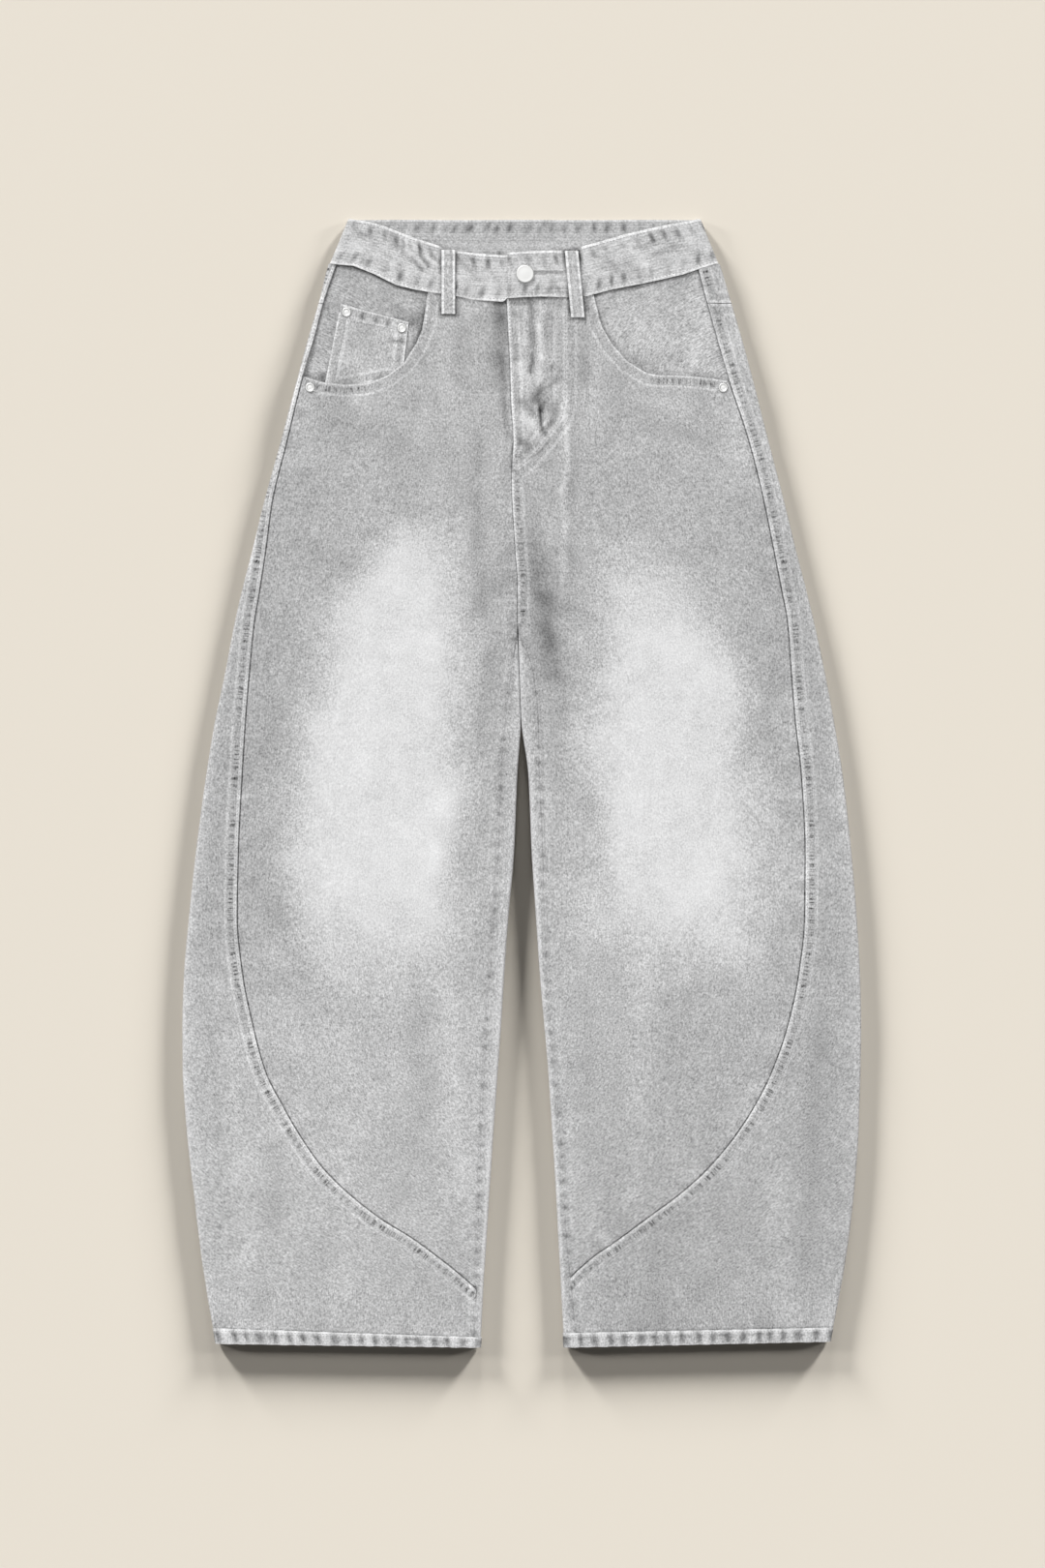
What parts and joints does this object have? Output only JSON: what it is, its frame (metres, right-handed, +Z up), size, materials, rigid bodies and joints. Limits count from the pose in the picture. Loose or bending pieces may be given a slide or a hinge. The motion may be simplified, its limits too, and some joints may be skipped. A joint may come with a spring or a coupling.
{
  "type": "jeans",
  "caption": "Light grey washed balloon-leg jeans with a high waist, laid flat with the front up.",
  "frame": {"origin": "on the surface the garment lies on, below the middle of its outline", "axes": "+Z up from the surface, +Y from the hems towards the waist, +X to the right as seen from above"},
  "size_m": [0.626, 1.0395, 0.0134],
  "materials": {
    "denim": "light grey stone-washed cotton twill, pale at the thighs",
    "facing_denim": "the same washed cotton twill, a little darker inside the pocket mouths",
    "metal": "satin light metal, plain"
  },
  "bodies": {
    "root": {"front_left": "denim", "front_right": "denim", "back_left": "denim", "back_right": "denim", "yoke_left": "denim", "yoke_right": "denim", "waistband": "denim", "hem_left": "denim", "hem_right": "denim", "coin_pocket": "denim", "back_pocket_left": "denim", "back_pocket_right": "denim", "belt_loop_front_left": "denim", "belt_loop_front_right": "denim", "belt_loop_back_left": "denim", "belt_loop_back_centre": "denim", "belt_loop_back_right": "denim", "pocket_facing_left": "facing_denim", "pocket_facing_right": "facing_denim", "waist_button": "metal", "rivet_coin_outer": "metal", "rivet_coin_inner": "metal", "rivet_pocket_left": "metal", "rivet_pocket_right": "metal"}
  },
  "joints": []
}
